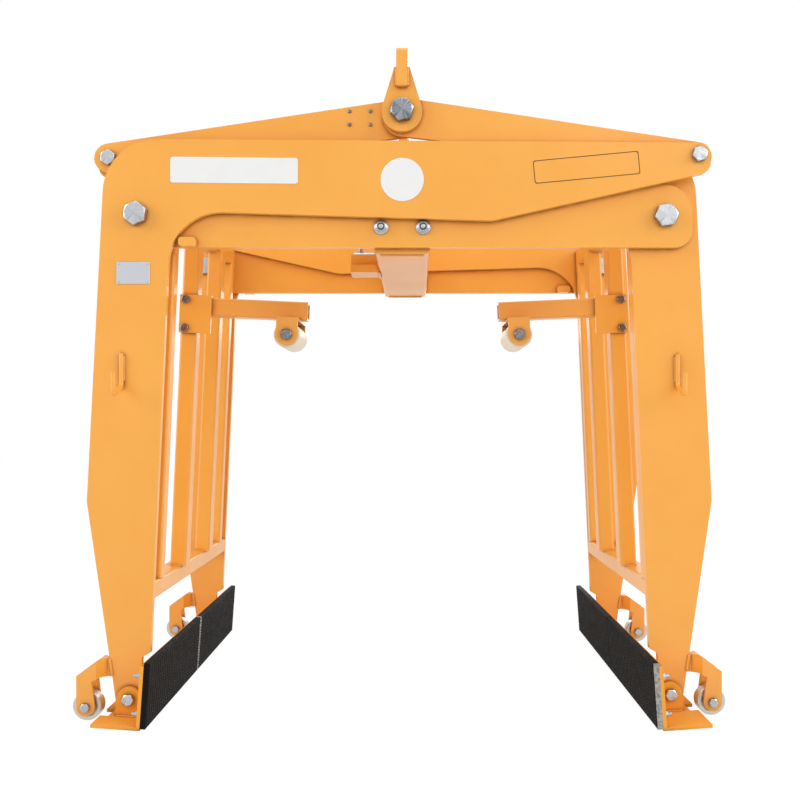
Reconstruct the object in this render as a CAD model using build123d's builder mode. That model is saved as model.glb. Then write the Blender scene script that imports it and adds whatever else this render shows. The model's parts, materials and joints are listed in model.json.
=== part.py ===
"""Brick grab: two bell-crank legs that cross on a beam frame and close when it is lifted.

Millimetres. X runs to the right, Y to the rear, Z up, with the origin on the ground below
the lifting pin. The left leg's plates lie outside the beams and the right leg's inside.
"""

import os
from math import atan2, cos, hypot, radians, sin, sqrt, tan

from build123d import *

os.makedirs("parts", exist_ok=True)

LEFT = -1
RIGHT = 1

# Hinge points, seen from the front
pivot_x = 588
pivot_z = 1119
lug_out = 70
lug_up = 132
pin_up = 97
foot_out = 14
foot_z = 48

# Layers of plate, measured outwards from the middle plane
plate = 16
layer_gap = 4
left_face = 418
link = 10
link_gap = 1
side_gap = 0.5
running_clearance = 0.05
hole_clearance = 0.5

# Fasteners: shank diameter, width across flats, head height, nut height
m30 = (30, 46, 18.5, 24)
m20 = (20, 30, 12, 16)
m16 = (16, 24, 10, 13)
m12 = (12, 18, 7.5, 10)
head_chamfer_angle = 30
head_land = 1
pivot_head_turn = {LEFT: 22, RIGHT: 8}
lug_head_turn = {LEFT: 14, RIGHT: 26}
pin_head_turn = 11

# Leg plates: edge distances from the hinge points, and corner radii
arm_end = 26
arm_above_lug = 27
arm_below_lug = 38
arm_knee_x = 200
arm_knee_drop = 14
knee_radius = 60
arch_in = 75
arch_up = 8
arch_radius = 118
shoulder_out = 69
shoulder_up = 167
shoulder_radius = 120
elbow_out = 96
elbow_up = 434
elbow_radius = 30
inner_edge = 45
inner_edge_up = 100
step_depth = 19
step_height = 10
step_radius = 5
foot_inner = 22
foot_outer = 29
foot_drop = 24
foot_radius = 10

# Welded frame between the plates of a leg, square to its inner edge
tube_wall = 5
tube_corner = 6
upright_width = 100
upright_depth = 40
upright_above_pivot = 54
rail_height = 40
lower_rail_up = 115
lower_rail_width = 48
upper_rail_drop = 41
upper_rail_width = 48
post_width = 40
post_depth = 50
post_proud = 12
post_y = 138
spacer_size = 60
spacer_in = 20
spacer_above_rail = 107
spacer_below_pivot = 177

# Beam frame
beam_end = 62
beam_below_pivot = 70
beam_height = 140
beam_top_radius = 62
beam_bottom_radius = 40
channel_half = 62
channel_wall = 8
channel_drop = 12
channel_height = 70
channel_bend = 9
end_plate = 12
channel_screw_x = 47
channel_screw_up = 57
peg_size = 20
peg_length = 38
peg_in = 92
peg_round = 7
sleeve_diameter = 45

# Latch that holds the grab open
latch_y = -65
latch_up = 48
latch_diameter = 20
latch_stroke = 30
latch_tip_gap = 4
handle_diameter = 12
handle_height = 36
latch_tail = 17
housing_length = 72
housing_width = 94
housing_sheet = 6
housing_lip = 19
guide_width = 50
keeper_length = 12
keeper_height = 65
hanger_width = 60
hanger_thickness = 20
hanger_below_slot = 13
slot_width = 24
slot_height = 28
slot_corner = 4

# Links and lifting part
link_lug_radius = 33
link_pin_radius = 43
link_pin_drop = 8
open_pivot_clearance = 1.5
cheek_radius = 45
cheek_top_half = 17
cheek_top = 97
lifting_plate = 25
lifting_half = 433
lifting_above_pin = 52
lifting_end_height = 83
lifting_crown = 160
crown_half = 70
crown_radius = 55
eye_up = 98
eye_diameter = 70
lifting_end_radius = 12

# Wheels and their forks
axle_out = 93
wheel_radius = 32
wheel_width = 34
wheel_side_gap = 2
hub_radius = 15
web_width = 14
rim_depth = 9
rim_round = 2
fork_sheet = 8
fork_round = 20
fork_neck_low = 96
fork_neck_high = 137
fork_neck_in = 30
fork_bend_in = 43
fork_joggle = 20
fork_crown_drop = 36
fork_throat_in = 7
fork_throat_drop = 8

# Pad carriers
pad_tilt = 4
carrier_in = 35
carrier_half = 500
backing = 8
backing_height = 138
flange = 7
flange_width = 97
flange_notch_depth = 18
flange_notch_half = 24
pad_lug = 10
pad_lug_gap = 2
pad_lug_radius = 27
pad_sheet = 12
pad_margin = 4
pad_above = 7
pad_joint = 4

# Guide rollers
bracket_sheet = 8
bracket_out = 30
bracket_in = 48
bracket_height = 94
bracket_drop = 20
bracket_bolt_spacing = 70
bracket_bolt_in = -16
arm_below_rail = 183
arm_width = 50
arm_height = 45
arm_reach = 285
fork_plate = 6
fork_width = 52
roller_from_end = 42
roller_radius = 32
roller_length = 158
roller_end_gap = 1
roller_top_gap = 4
roller_chamfer = 3

# Tool hooks
hook_diameter = 10
hook_out = 32
hook_below_pivot = 308
hook_stem = 73
hook_drop = 96
hook_reach = 60
hook_tip_drop = 45
hook_bend_radius = 12

# Places that follow from the hinge points
lug_x = pivot_x + lug_out
lug_z = pivot_z + lug_up
pin_z = lug_z + pin_up
foot_x = pivot_x + foot_out
axle_x = foot_x + axle_out
carrier_x = foot_x - carrier_in
elbow_z = foot_z + elbow_up
beam_bottom = pivot_z - beam_below_pivot
channel_bottom = beam_bottom - channel_drop
latch_z = channel_bottom + latch_up
lifting_bottom = pin_z + lifting_above_pin

# Outer faces of the layers
beam_face = left_face - plate - layer_gap
right_face = beam_face - plate - layer_gap
right_link_face = left_face - plate - link_gap
left_link_face = right_link_face - link - 2 * link_gap
right_upright_face = right_face - plate
left_upright_face = right_upright_face - layer_gap

# The inner edge of a leg leans outwards towards the ground
inner_low_x = foot_x - inner_edge
inner_low_z = foot_z + inner_edge_up
arch_x = pivot_x - arch_in
arch_z = pivot_z + arch_up
lean = atan2(inner_low_x - arch_x, arch_z - inner_low_z)

# Heights along the lean of a leg, from the low end of its inner edge
pivot_up = (pivot_z - inner_low_z) * cos(lean) - (pivot_x - inner_low_x) * sin(lean)
lower_rail_top = lower_rail_up + rail_height
upright_top = pivot_up + upright_above_pivot
upper_rail_up = upright_top - upper_rail_drop
spacer_heights = (lower_rail_top + spacer_above_rail, pivot_up - spacer_below_pivot)
arm_up = upper_rail_up - arm_below_rail
arm_bottom = arm_up - arm_height / 2
roller_in = arm_reach - roller_from_end
roller_up = arm_bottom - fork_plate - roller_top_gap - roller_radius
bracket_up = arm_up - bracket_drop
bracket_bolt_heights = (bracket_up - bracket_bolt_spacing / 2, bracket_up + bracket_bolt_spacing / 2)
post_front = post_y + post_depth / 2

# The pad carriers lean inwards at the top, and their lowest edges touch the ground
tilt = radians(pad_tilt)
carrier_z = backing * sin(tilt)


def save(builder, name):
    """Label a finished piece and write it."""
    builder.part.label = name
    export_step(builder.part, f"parts/{name}.step")


def side_name(side):
    return "left" if side == LEFT else "right"


def leg_face(side):
    """Distance of a leg's outer plate faces from the middle plane."""
    return left_face if side == LEFT else right_face


def upright_face(side):
    return left_upright_face if side == LEFT else right_upright_face


def front_plane(distance, x=0, z=0):
    """Upright plane that faces the front, that far in front of the middle."""
    return Plane(origin=(x, -distance, z), x_dir=(1, 0, 0), z_dir=(0, -1, 0))


def inward(side):
    return Vector(-side * cos(lean), 0, -sin(lean))


def upward(side):
    return Vector(-side * sin(lean), 0, cos(lean))


def leg_point(side, across, y, up):
    """Point in the leaning frame of a leg: across is inwards of its inner edge."""
    corner = Vector(side * inner_low_x, y, inner_low_z)
    return corner + inward(side) * across + upward(side) * up


def leaning_plane(side, distance):
    """Front plane turned with the leg: local x is across, to the right, local y is up."""
    across = (cos(lean), 0, side * sin(lean))
    return Plane(origin=leg_point(side, 0, -distance, 0), x_dir=across, z_dir=(0, -1, 0))


def leaning_block(side, across, up, depth, mode=Mode.ADD):
    """Block in a leg's leaning frame; depth runs forwards from the middle plane."""
    with BuildSketch(leaning_plane(side, depth[0])) as outline:
        with Locations((-side * (across[0] + across[1]) / 2, (up[0] + up[1]) / 2)):
            Rectangle(across[1] - across[0], up[1] - up[0])
    extrude(outline.sketch, amount=depth[1] - depth[0], mode=mode)


def tube(plane, width, depth, length):
    """Rectangular tube with rounded corners, from a plane across its axis."""
    inner = tube_corner - tube_wall
    with BuildSketch(plane) as section:
        RectangleRounded(width, depth, tube_corner)
        RectangleRounded(width - 2 * tube_wall, depth - 2 * tube_wall, inner, mode=Mode.SUBTRACT)
    extrude(section.sketch, amount=length)


def cross_hole(x, z, diameter, reach):
    """Round hole along Y, cut through everything between front and rear reach."""
    with BuildSketch(front_plane(0, x, z)) as hole:
        Circle(diameter / 2)
    extrude(hole.sketch, amount=reach, both=True, mode=Mode.SUBTRACT)


def hex_prism(plane, across_flats, height, bore=0, turn=0):
    with BuildSketch(plane) as hexagon:
        RegularPolygon(across_flats / 2, 6, major_radius=False, rotation=turn)
        if bore:
            Circle(bore / 2, mode=Mode.SUBTRACT)
    extrude(hexagon.sketch, amount=height)


def round_corners(x, z, across_flats, top):
    """Cut the corners of a hexagon head off with a cone that opens towards the middle plane.

    The cone starts just inside the flats, so that the top of the head is a full circle.
    """
    start = across_flats / 2 - head_land
    end = across_flats / sqrt(3) + head_land
    drop = (end - start) * tan(radians(head_chamfer_angle))
    with BuildSketch(Plane(origin=(x, -top, z), x_dir=(1, 0, 0), z_dir=(0, 0, 1))) as ring_section:
        with BuildLine():
            Polyline((start, 0), (end, 0), (end, drop), close=True)
        make_face()
    axis = Axis((x, -top, z), (0, 1, 0))
    revolve(ring_section.sketch, axis=axis, mode=Mode.SUBTRACT)


def hex_screw(x, z, size, head_face, tip, turn=0):
    """Hexagon head outside head_face, shank from there inwards to the tip."""
    shank, across_flats, head, nut = size
    hex_prism(front_plane(head_face, x, z), across_flats, head, turn=turn)
    round_corners(x, z, across_flats, head_face + head)
    with BuildSketch(front_plane(tip, x, z)) as section:
        Circle(shank / 2)
    extrude(section.sketch, amount=head_face - tip)


def hex_bolt(x, z, size, head_face, nut_face, turn=0):
    """Screw with a nut behind nut_face; the shank ends flush with the nut."""
    shank, across_flats, head, nut = size
    hex_screw(x, z, size, head_face, nut_face - nut, turn)
    bore = shank + 2 * running_clearance
    hex_prism(front_plane(nut_face - nut, x, z), across_flats, nut, bore)


def ring(x, z, outer, inner, far, near):
    with BuildSketch(front_plane(near, x, z)) as section:
        Circle(outer / 2)
        Circle(inner / 2, mode=Mode.SUBTRACT)
    extrude(section.sketch, amount=far - near)


# Leg plates
leg_corners = (
    (lug_x + arm_end, lug_z + arm_above_lug, arm_end),
    (lug_x + arm_end, lug_z - arm_below_lug, arm_end),
    (arm_knee_x, pivot_z - arm_knee_drop, knee_radius),
    (-arch_x, arch_z, arch_radius),
    (-inner_low_x, inner_low_z, step_radius),
    (-inner_low_x - step_depth, inner_low_z - step_height, step_radius),
    (-foot_x + foot_inner, foot_z - foot_drop, foot_radius),
    (-foot_x - foot_outer, foot_z - foot_drop, foot_radius),
    (-foot_x - elbow_out, elbow_z, elbow_radius),
    (-pivot_x - shoulder_out, pivot_z + shoulder_up, shoulder_radius),
)


def leg_plate(side, front):
    face = leg_face(side)
    points = [(-side * x, z) for x, z, radius in leg_corners]
    radii = [radius for x, z, radius in leg_corners]
    with BuildPart() as piece:
        with BuildSketch(front_plane(face - plate if front else -face)):
            with BuildLine():
                FilletPolyline(*points, radius=radii, close=True)
            make_face()
        extrude(amount=plate)
        cross_hole(side * pivot_x, pivot_z, m30[0] + 2 * running_clearance, face)
        cross_hole(-side * lug_x, lug_z, m20[0] + 2 * running_clearance, face)
        cross_hole(side * foot_x, foot_z, m16[0] + 2 * running_clearance, face)
    end = "front" if front else "rear"
    save(piece, f"{side_name(side)}_leg_{end}_plate")


# Tubes of a leg
def leg_frame(side):
    name = side_name(side)
    face = upright_face(side)
    rail_half = leg_face(side) - plate
    with BuildPart() as uprights:
        middle = leg_point(side, -upright_width / 2, -(face - upright_depth / 2), lower_rail_top)
        plane = Plane(origin=middle, x_dir=inward(side), z_dir=upward(side))
        tube(plane, upright_width, upright_depth, upright_top - lower_rail_top)
        mirror(about=Plane.XZ)
        cross_hole(side * pivot_x, pivot_z, m30[0] + 2 * running_clearance, face)
    save(uprights, f"{name}_leg_uprights")
    with BuildPart() as lower_rail:
        middle = leg_point(side, -lower_rail_width / 2, rail_half, lower_rail_up + rail_height / 2)
        plane = Plane(origin=middle, x_dir=inward(side), z_dir=(0, -1, 0))
        tube(plane, lower_rail_width, rail_height, 2 * rail_half)
    save(lower_rail, f"{name}_leg_lower_rail")
    with BuildPart() as upper_rail:
        upper_half = face - upright_depth
        middle = leg_point(side, -upper_rail_width / 2, upper_half, upper_rail_up + rail_height / 2)
        plane = Plane(origin=middle, x_dir=inward(side), z_dir=(0, -1, 0))
        tube(plane, upper_rail_width, rail_height, 2 * upper_half)
    save(upper_rail, f"{name}_leg_upper_rail")
    with BuildPart() as posts:
        middle = leg_point(side, post_proud - post_width / 2, -post_y, lower_rail_top)
        plane = Plane(origin=middle, x_dir=inward(side), z_dir=upward(side))
        tube(plane, post_width, post_depth, upper_rail_up - lower_rail_top)
        mirror(about=Plane.XZ)
        for up in bracket_bolt_heights:
            hole = leg_point(side, bracket_bolt_in, 0, up)
            with BuildSketch(front_plane(0, hole.X, hole.Z)):
                Circle(m12[0] / 2 + hole_clearance)
            extrude(amount=post_y + post_depth, mode=Mode.SUBTRACT)
    save(posts, f"{name}_leg_posts")


def left_spacers():
    """Blocks that carry the left leg's plates out from its uprights."""
    with BuildPart() as spacers:
        for up in spacer_heights:
            across = (-spacer_in - spacer_size, -spacer_in)
            depth = (left_upright_face, left_face - plate)
            leaning_block(LEFT, across, (up, up + spacer_size), depth)
        mirror(about=Plane.XZ)
    save(spacers, "left_leg_spacers")


# Wheel forks
def leg_outer_edge(z):
    """Distance of the leg's outer edge from the middle, between foot and elbow."""
    low = foot_z - foot_drop
    share = (z - low) / (elbow_z - low)
    return foot_x + foot_outer + (elbow_out - foot_outer) * share


def wheel_forks(side):
    middle = leg_face(side) - plate / 2
    inner = wheel_width / 2 + wheel_side_gap
    outer = inner + fork_sheet
    neck = plate / 2
    neck_out = axle_x - fork_neck_in
    bend_x = axle_x - fork_bend_in
    joggle_end = bend_x + fork_joggle
    rise = outer - neck
    sheet_shift = fork_sheet * (hypot(fork_joggle, rise) - fork_joggle) / rise
    tip = axle_x + fork_round
    root = leg_outer_edge(fork_neck_low)
    with BuildPart() as forks:
        with BuildSketch(Plane.XY):
            for y in (1, -1):
                plan = (
                    (root - foot_outer, 0),
                    (root - foot_outer, neck),
                    (bend_x, neck),
                    (joggle_end, outer),
                    (tip, outer),
                    (tip, inner),
                    (joggle_end + sheet_shift, inner),
                    (bend_x + sheet_shift, 0),
                )
                with BuildLine():
                    Polyline(*[(side * px, -middle + y * py) for px, py in plan], close=True)
                make_face()
        extrude(amount=fork_neck_high)
        profile = (
            (root, fork_neck_low),
            (leg_outer_edge(fork_neck_high), fork_neck_high),
            (neck_out, fork_neck_high),
            (tip, fork_neck_high - fork_crown_drop),
            (tip, wheel_radius),
            (axle_x - fork_round, wheel_radius),
            (axle_x - fork_round + fork_throat_in, fork_neck_low - fork_throat_drop),
            (neck_out, fork_neck_low),
        )
        with BuildSketch(front_plane(middle)):
            with BuildLine():
                Polyline(*[(side * px, pz) for px, pz in profile], close=True)
            make_face()
            with Locations((side * axle_x, wheel_radius)):
                Circle(fork_round)
        extrude(amount=outer, both=True, mode=Mode.INTERSECT)
        mirror(about=Plane.XZ)
        cross_hole(side * axle_x, wheel_radius, m12[0] + 2 * running_clearance, left_face + outer)
    save(forks, f"{side_name(side)}_wheel_forks")
    with BuildPart() as axles:
        hex_bolt(side * axle_x, wheel_radius, m12, middle + outer, middle - outer)
        mirror(about=Plane.XZ)
    save(axles, f"{side_name(side)}_wheel_axles")


def wheel(side, front):
    """Turned wheel with a hub, a thin web and a rim."""
    middle = leg_face(side) - plate / 2
    y = -middle if front else middle
    half = wheel_width / 2
    bore = m12[0] / 2 + running_clearance
    rim = wheel_radius - rim_depth
    profile = (
        (bore, half),
        (hub_radius, half),
        (hub_radius, web_width / 2),
        (rim, web_width / 2),
        (rim, half - rim_round),
        (wheel_radius - rim_round, half - rim_round),
        (wheel_radius, half - 2 * rim_round),
    )
    outline = [(w, r) for r, w in profile] + [(-w, r) for r, w in reversed(profile)]
    plane = Plane(origin=(side * axle_x, y, wheel_radius), x_dir=(0, 1, 0), z_dir=(1, 0, 0))
    with BuildPart() as piece:
        with BuildSketch(plane):
            with BuildLine():
                Polyline(*outline, close=True)
            make_face()
        revolve(axis=Axis((side * axle_x, y, wheel_radius), (0, 1, 0)))
    end = "front" if front else "rear"
    save(piece, f"wheel_{side_name(side)}_{end}")


# Pad carriers
def carrier_plane(side, distance):
    """Front plane of a pad carrier: local x to the right, local y up the backing."""
    across = (cos(tilt), 0, side * sin(tilt))
    origin = (side * carrier_x, -distance, carrier_z)
    return Plane(origin=origin, x_dir=across, z_dir=(0, -1, 0))


def carrier_block(side, across, up, depth, mode=Mode.ADD):
    with BuildSketch(carrier_plane(side, depth[0])) as outline:
        with Locations((-side * (across[0] + across[1]) / 2, (up[0] + up[1]) / 2)):
            Rectangle(across[1] - across[0], up[1] - up[0])
    extrude(outline.sketch, amount=depth[1] - depth[0], mode=mode)


def pad_carrier(side):
    wheel_y = leg_face(side) - plate / 2
    lug_near = leg_face(side) + pad_lug_gap
    reach_x = foot_x - carrier_x
    reach_z = foot_z - carrier_z
    hole = (
        -(reach_x * cos(tilt) + reach_z * sin(tilt)),
        reach_z * cos(tilt) - reach_x * sin(tilt),
    )
    with BuildPart() as carrier:
        carrier_block(side, (0, backing), (0, backing_height), (-carrier_half, carrier_half))
        carrier_block(side, (-flange_width, 0), (0, flange), (-carrier_half, carrier_half))
        for y in (wheel_y, -wheel_y):
            notch = (-flange_width, flange_notch_depth - flange_width)
            depth = (y - flange_notch_half, y + flange_notch_half)
            carrier_block(side, notch, (0, flange), depth, mode=Mode.SUBTRACT)
        with BuildSketch(carrier_plane(side, lug_near)) as lug:
            with Locations((-side * hole[0], hole[1])):
                Circle(pad_lug_radius)
            with Locations((-side * hole[0], hole[1] / 2)):
                Rectangle(2 * pad_lug_radius, hole[1])
            with Locations((-side * hole[0] / 2, hole[1] / 2)):
                Rectangle(-hole[0], hole[1])
        extrude(amount=pad_lug)
        with BuildSketch(carrier_plane(side, -lug_near - pad_lug)):
            add(lug.sketch_local)
        extrude(amount=pad_lug)
        bore = m16[0] + 2 * running_clearance
        cross_hole(side * foot_x, foot_z, bore, carrier_half)
    save(carrier, f"{side_name(side)}_pad_carrier")
    with BuildPart() as pads:
        across = (backing, backing + pad_sheet)
        up = (pad_margin, backing_height + pad_above)
        carrier_block(side, across, up, (pad_joint / 2, carrier_half))
        mirror(about=Plane.XZ)
    save(pads, f"{side_name(side)}_rubber_pads")
    with BuildPart() as bolts:
        head_face = lug_near + pad_lug + side_gap
        hex_bolt(side * foot_x, foot_z, m16, head_face, leg_face(side) - plate)
        mirror(about=Plane.XZ)
    save(bolts, f"{side_name(side)}_pad_bolts")


# Guide rollers on the near posts
def guide_roller(side):
    name = side_name(side)
    middle = post_front - arm_width / 2
    near = middle + roller_length / 2 + roller_end_gap
    far = middle - roller_length / 2 - roller_end_gap
    axis = leg_point(side, roller_in, 0, roller_up)
    bracket_low = bracket_up - bracket_height / 2
    with BuildPart() as bracket:
        depth = (post_front, post_front + bracket_sheet)
        leaning_block(side, (-bracket_out, bracket_in), (bracket_low, bracket_low + bracket_height), depth)
        for up in bracket_bolt_heights:
            hole = leg_point(side, bracket_bolt_in, 0, up)
            cross_hole(hole.X, hole.Z, m12[0] + 2 * hole_clearance, post_front + bracket_sheet)
    save(bracket, f"{name}_roller_bracket")
    with BuildPart() as arm:
        origin = leg_point(side, post_proud, -middle, arm_up)
        plane = Plane(origin=origin, x_dir=(0, 1, 0), z_dir=inward(side))
        tube(plane, arm_width, arm_height, arm_reach - post_proud)
    save(arm, f"{name}_roller_arm")
    with BuildPart() as fork:
        across = (roller_in - fork_width / 2, roller_in + fork_width / 2)
        plate_up = (arm_bottom - fork_plate, arm_bottom)
        leaning_block(side, across, plate_up, (far - fork_plate, near + fork_plate))
        for start in (far - fork_plate, near):
            with BuildSketch(leaning_plane(side, start)):
                with Locations((-side * roller_in, roller_up)):
                    Circle(fork_width / 2)
                with Locations((-side * roller_in, (roller_up + arm_bottom) / 2)):
                    Rectangle(fork_width, arm_bottom - roller_up)
            extrude(amount=fork_plate)
        cross_hole(axis.X, axis.Z, m16[0] + 2 * running_clearance, near + fork_plate)
    save(fork, f"{name}_roller_fork")
    with BuildPart() as fasteners:
        hex_bolt(axis.X, axis.Z, m16, near + fork_plate, far - fork_plate)
        for up in bracket_bolt_heights:
            hole = leg_point(side, bracket_bolt_in, 0, up)
            hex_bolt(hole.X, hole.Z, m12, post_front + bracket_sheet, post_y - post_depth / 2)
    save(fasteners, f"{name}_roller_fasteners")
    with BuildPart() as roller:
        with BuildSketch(front_plane(middle - roller_length / 2, axis.X, axis.Z)):
            Circle(roller_radius)
        extrude(amount=roller_length)
        chamfer(roller.edges(), roller_chamfer)
        cross_hole(axis.X, axis.Z, m16[0] + 2 * running_clearance, near)
    save(roller, f"{name}_roller")


# Beam frame
def beam_plate(front):
    with BuildPart() as beam:
        with BuildSketch(front_plane(beam_face - plate if front else -beam_face)):
            top = beam_bottom + beam_height
            half = pivot_x + beam_end
            corners = ((half, beam_bottom), (half, top), (-half, top), (-half, beam_bottom))
            radii = (beam_bottom_radius, beam_top_radius, beam_top_radius, beam_bottom_radius)
            with BuildLine():
                FilletPolyline(*corners, radius=radii, close=True)
            make_face()
        extrude(amount=plate)
        for x in (-pivot_x, pivot_x):
            cross_hole(x, pivot_z, m30[0] + 2 * running_clearance, beam_face)
        for x in (-channel_screw_x, channel_screw_x):
            cross_hole(x, channel_bottom + channel_screw_up, m16[0] + 2 * hole_clearance, beam_face)
    save(beam, f"beam_{'front' if front else 'rear'}_plate")


def centre_channel():
    inside = beam_face - plate
    screw_z = channel_bottom + channel_screw_up
    with BuildPart() as channel:
        with BuildSketch(front_plane(-inside + end_plate)):
            with BuildLine():
                FilletPolyline(
                    (-channel_half, channel_bottom + channel_height),
                    (-channel_half, channel_bottom),
                    (channel_half, channel_bottom),
                    (channel_half, channel_bottom + channel_height),
                    radius=(channel_bend, channel_bend),
                )
                offset(amount=-channel_wall, side=Side.LEFT)
            make_face()
        extrude(amount=2 * (inside - end_plate))
        with BuildSketch(front_plane(inside - end_plate)) as end:
            with Locations((0, channel_bottom + channel_height / 2)):
                RectangleRounded(2 * channel_half, channel_height, channel_bend)
        extrude(amount=end_plate)
        with BuildSketch(front_plane(-inside)):
            add(end.sketch_local)
        extrude(amount=end_plate)
        for x in (-channel_screw_x, channel_screw_x):
            cross_hole(x, screw_z, m16[0] + 2 * hole_clearance, inside)
        with BuildSketch(Plane.YZ.offset(-channel_half)):
            with Locations((latch_y, channel_bottom + latch_up)):
                Circle(latch_diameter / 2 + hole_clearance)
        extrude(amount=channel_wall, mode=Mode.SUBTRACT)
    save(channel, "centre_channel")
    with BuildPart() as screws:
        for x in (-channel_screw_x, channel_screw_x):
            hex_screw(x, screw_z, m16, beam_face, inside - end_plate)
        mirror(about=Plane.XZ)
    save(screws, "channel_screws")


def stop_pegs():
    """Short bars on the beams, outside for the left leg and inside for the right leg."""
    with BuildPart() as pegs:
        for side in (LEFT, RIGHT):
            face = beam_face if side == LEFT else beam_face - plate - peg_size
            x = side * (pivot_x - peg_in - peg_length / 2)
            with BuildSketch(front_plane(face, x, beam_bottom + peg_size / 2)):
                RectangleRounded(peg_length, peg_size, peg_round)
            extrude(amount=peg_size)
        mirror(about=Plane.XZ)
    save(pegs, "stop_pegs")


def pivot_bolts(side):
    """Main pivot bolts with nuts, washers and, on the left, the distance sleeves."""
    x = side * pivot_x
    face = upright_face(side)
    nut_face = face - upright_depth - side_gap
    head_face = left_face + side_gap if side == LEFT else beam_face
    washer_faces = (left_face - plate, beam_face) if side == LEFT else (beam_face - plate, right_face)
    bore = m30[0] + 2 * running_clearance
    with BuildPart() as bolts:
        hex_bolt(x, pivot_z, m30, head_face, nut_face, pivot_head_turn[side])
        ring(x, pivot_z, sleeve_diameter, bore, washer_faces[0] - side_gap, washer_faces[1] + side_gap)
        if side == LEFT:
            ring(x, pivot_z, sleeve_diameter, bore, beam_face - plate, face + side_gap)
        mirror(about=Plane.XZ)
    save(bolts, f"{side_name(side)}_pivot_bolts")


# Latch
def latch():
    low = channel_bottom
    outside = -channel_half - housing_length
    with BuildPart() as housing:
        with BuildSketch(Plane.YZ.offset(outside)):
            half = housing_width / 2
            with BuildLine():
                Polyline(
                    (latch_y - half, low + housing_lip),
                    (latch_y - half, low),
                    (latch_y + half, low),
                    (latch_y + half, low + housing_lip),
                    (latch_y + half - housing_sheet, low + housing_lip),
                    (latch_y + half - housing_sheet, low + housing_sheet),
                    (latch_y - half + housing_sheet, low + housing_sheet),
                    (latch_y - half + housing_sheet, low + housing_lip),
                    close=True,
                )
            make_face()
        extrude(amount=housing_length)
        with BuildSketch(Plane.YZ.offset(outside)):
            with Locations((latch_y, (low + latch_z) / 2)):
                Rectangle(guide_width, latch_up)
        extrude(amount=housing_length)
        with BuildSketch(Plane.YZ.offset(-channel_half - keeper_length)):
            with Locations((latch_y, low + keeper_height / 2)):
                Rectangle(guide_width, keeper_height)
        extrude(amount=keeper_length)
        with BuildSketch(Plane.YZ.offset(outside)):
            with Locations((latch_y, latch_z)):
                Circle(latch_diameter / 2 + running_clearance)
        extrude(amount=housing_length, mode=Mode.SUBTRACT)
    save(housing, "latch_housing")
    tip = -hanger_thickness / 2 - latch_tip_gap
    handle_x = -channel_half - keeper_length - latch_stroke - side_gap - handle_diameter / 2
    with BuildPart() as bolt:
        with BuildSketch(Plane.YZ.offset(handle_x - latch_tail)):
            with Locations((latch_y, latch_z)):
                Circle(latch_diameter / 2)
        extrude(amount=tip - handle_x + latch_tail)
        with BuildSketch(Plane.XY.offset(latch_z)):
            with Locations((handle_x, latch_y)):
                Circle(handle_diameter / 2)
        extrude(amount=handle_height)
    save(bolt, "latch_bolt")


# Links and lifting part
def link_plate(side, front):
    """Flat bar from the lug on its own side to the lifting pin."""
    outer = right_link_face if side == RIGHT else left_link_face
    clearance = running_clearance if side == RIGHT else open_pivot_clearance
    with BuildPart() as bar:
        with BuildSketch(front_plane(outer - link if front else -outer)):
            with Locations((side * lug_x, lug_z)):
                Circle(link_lug_radius)
            with Locations((0, pin_z - link_pin_drop)):
                Circle(link_pin_radius)
            make_hull()
        extrude(amount=link)
        cross_hole(side * lug_x, lug_z, m20[0] + 2 * running_clearance, left_face)
        cross_hole(0, pin_z, m30[0] + 2 * clearance, left_face)
    save(bar, f"{side_name(side)}_link_{'front' if front else 'rear'}")


def lug_bolts(side):
    """Bolts at the arm ends of a leg, which carry the links of the other side."""
    x = -side * lug_x
    if side == LEFT:
        head_face = left_face
        nut_face = right_link_face - link - side_gap
    else:
        head_face = left_link_face + side_gap
        nut_face = right_face - plate
    with BuildPart() as bolts:
        hex_bolt(x, lug_z, m20, head_face, nut_face, lug_head_turn[side])
        mirror(about=Plane.XZ)
    save(bolts, f"{side_name(side)}_lug_bolts")


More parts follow.
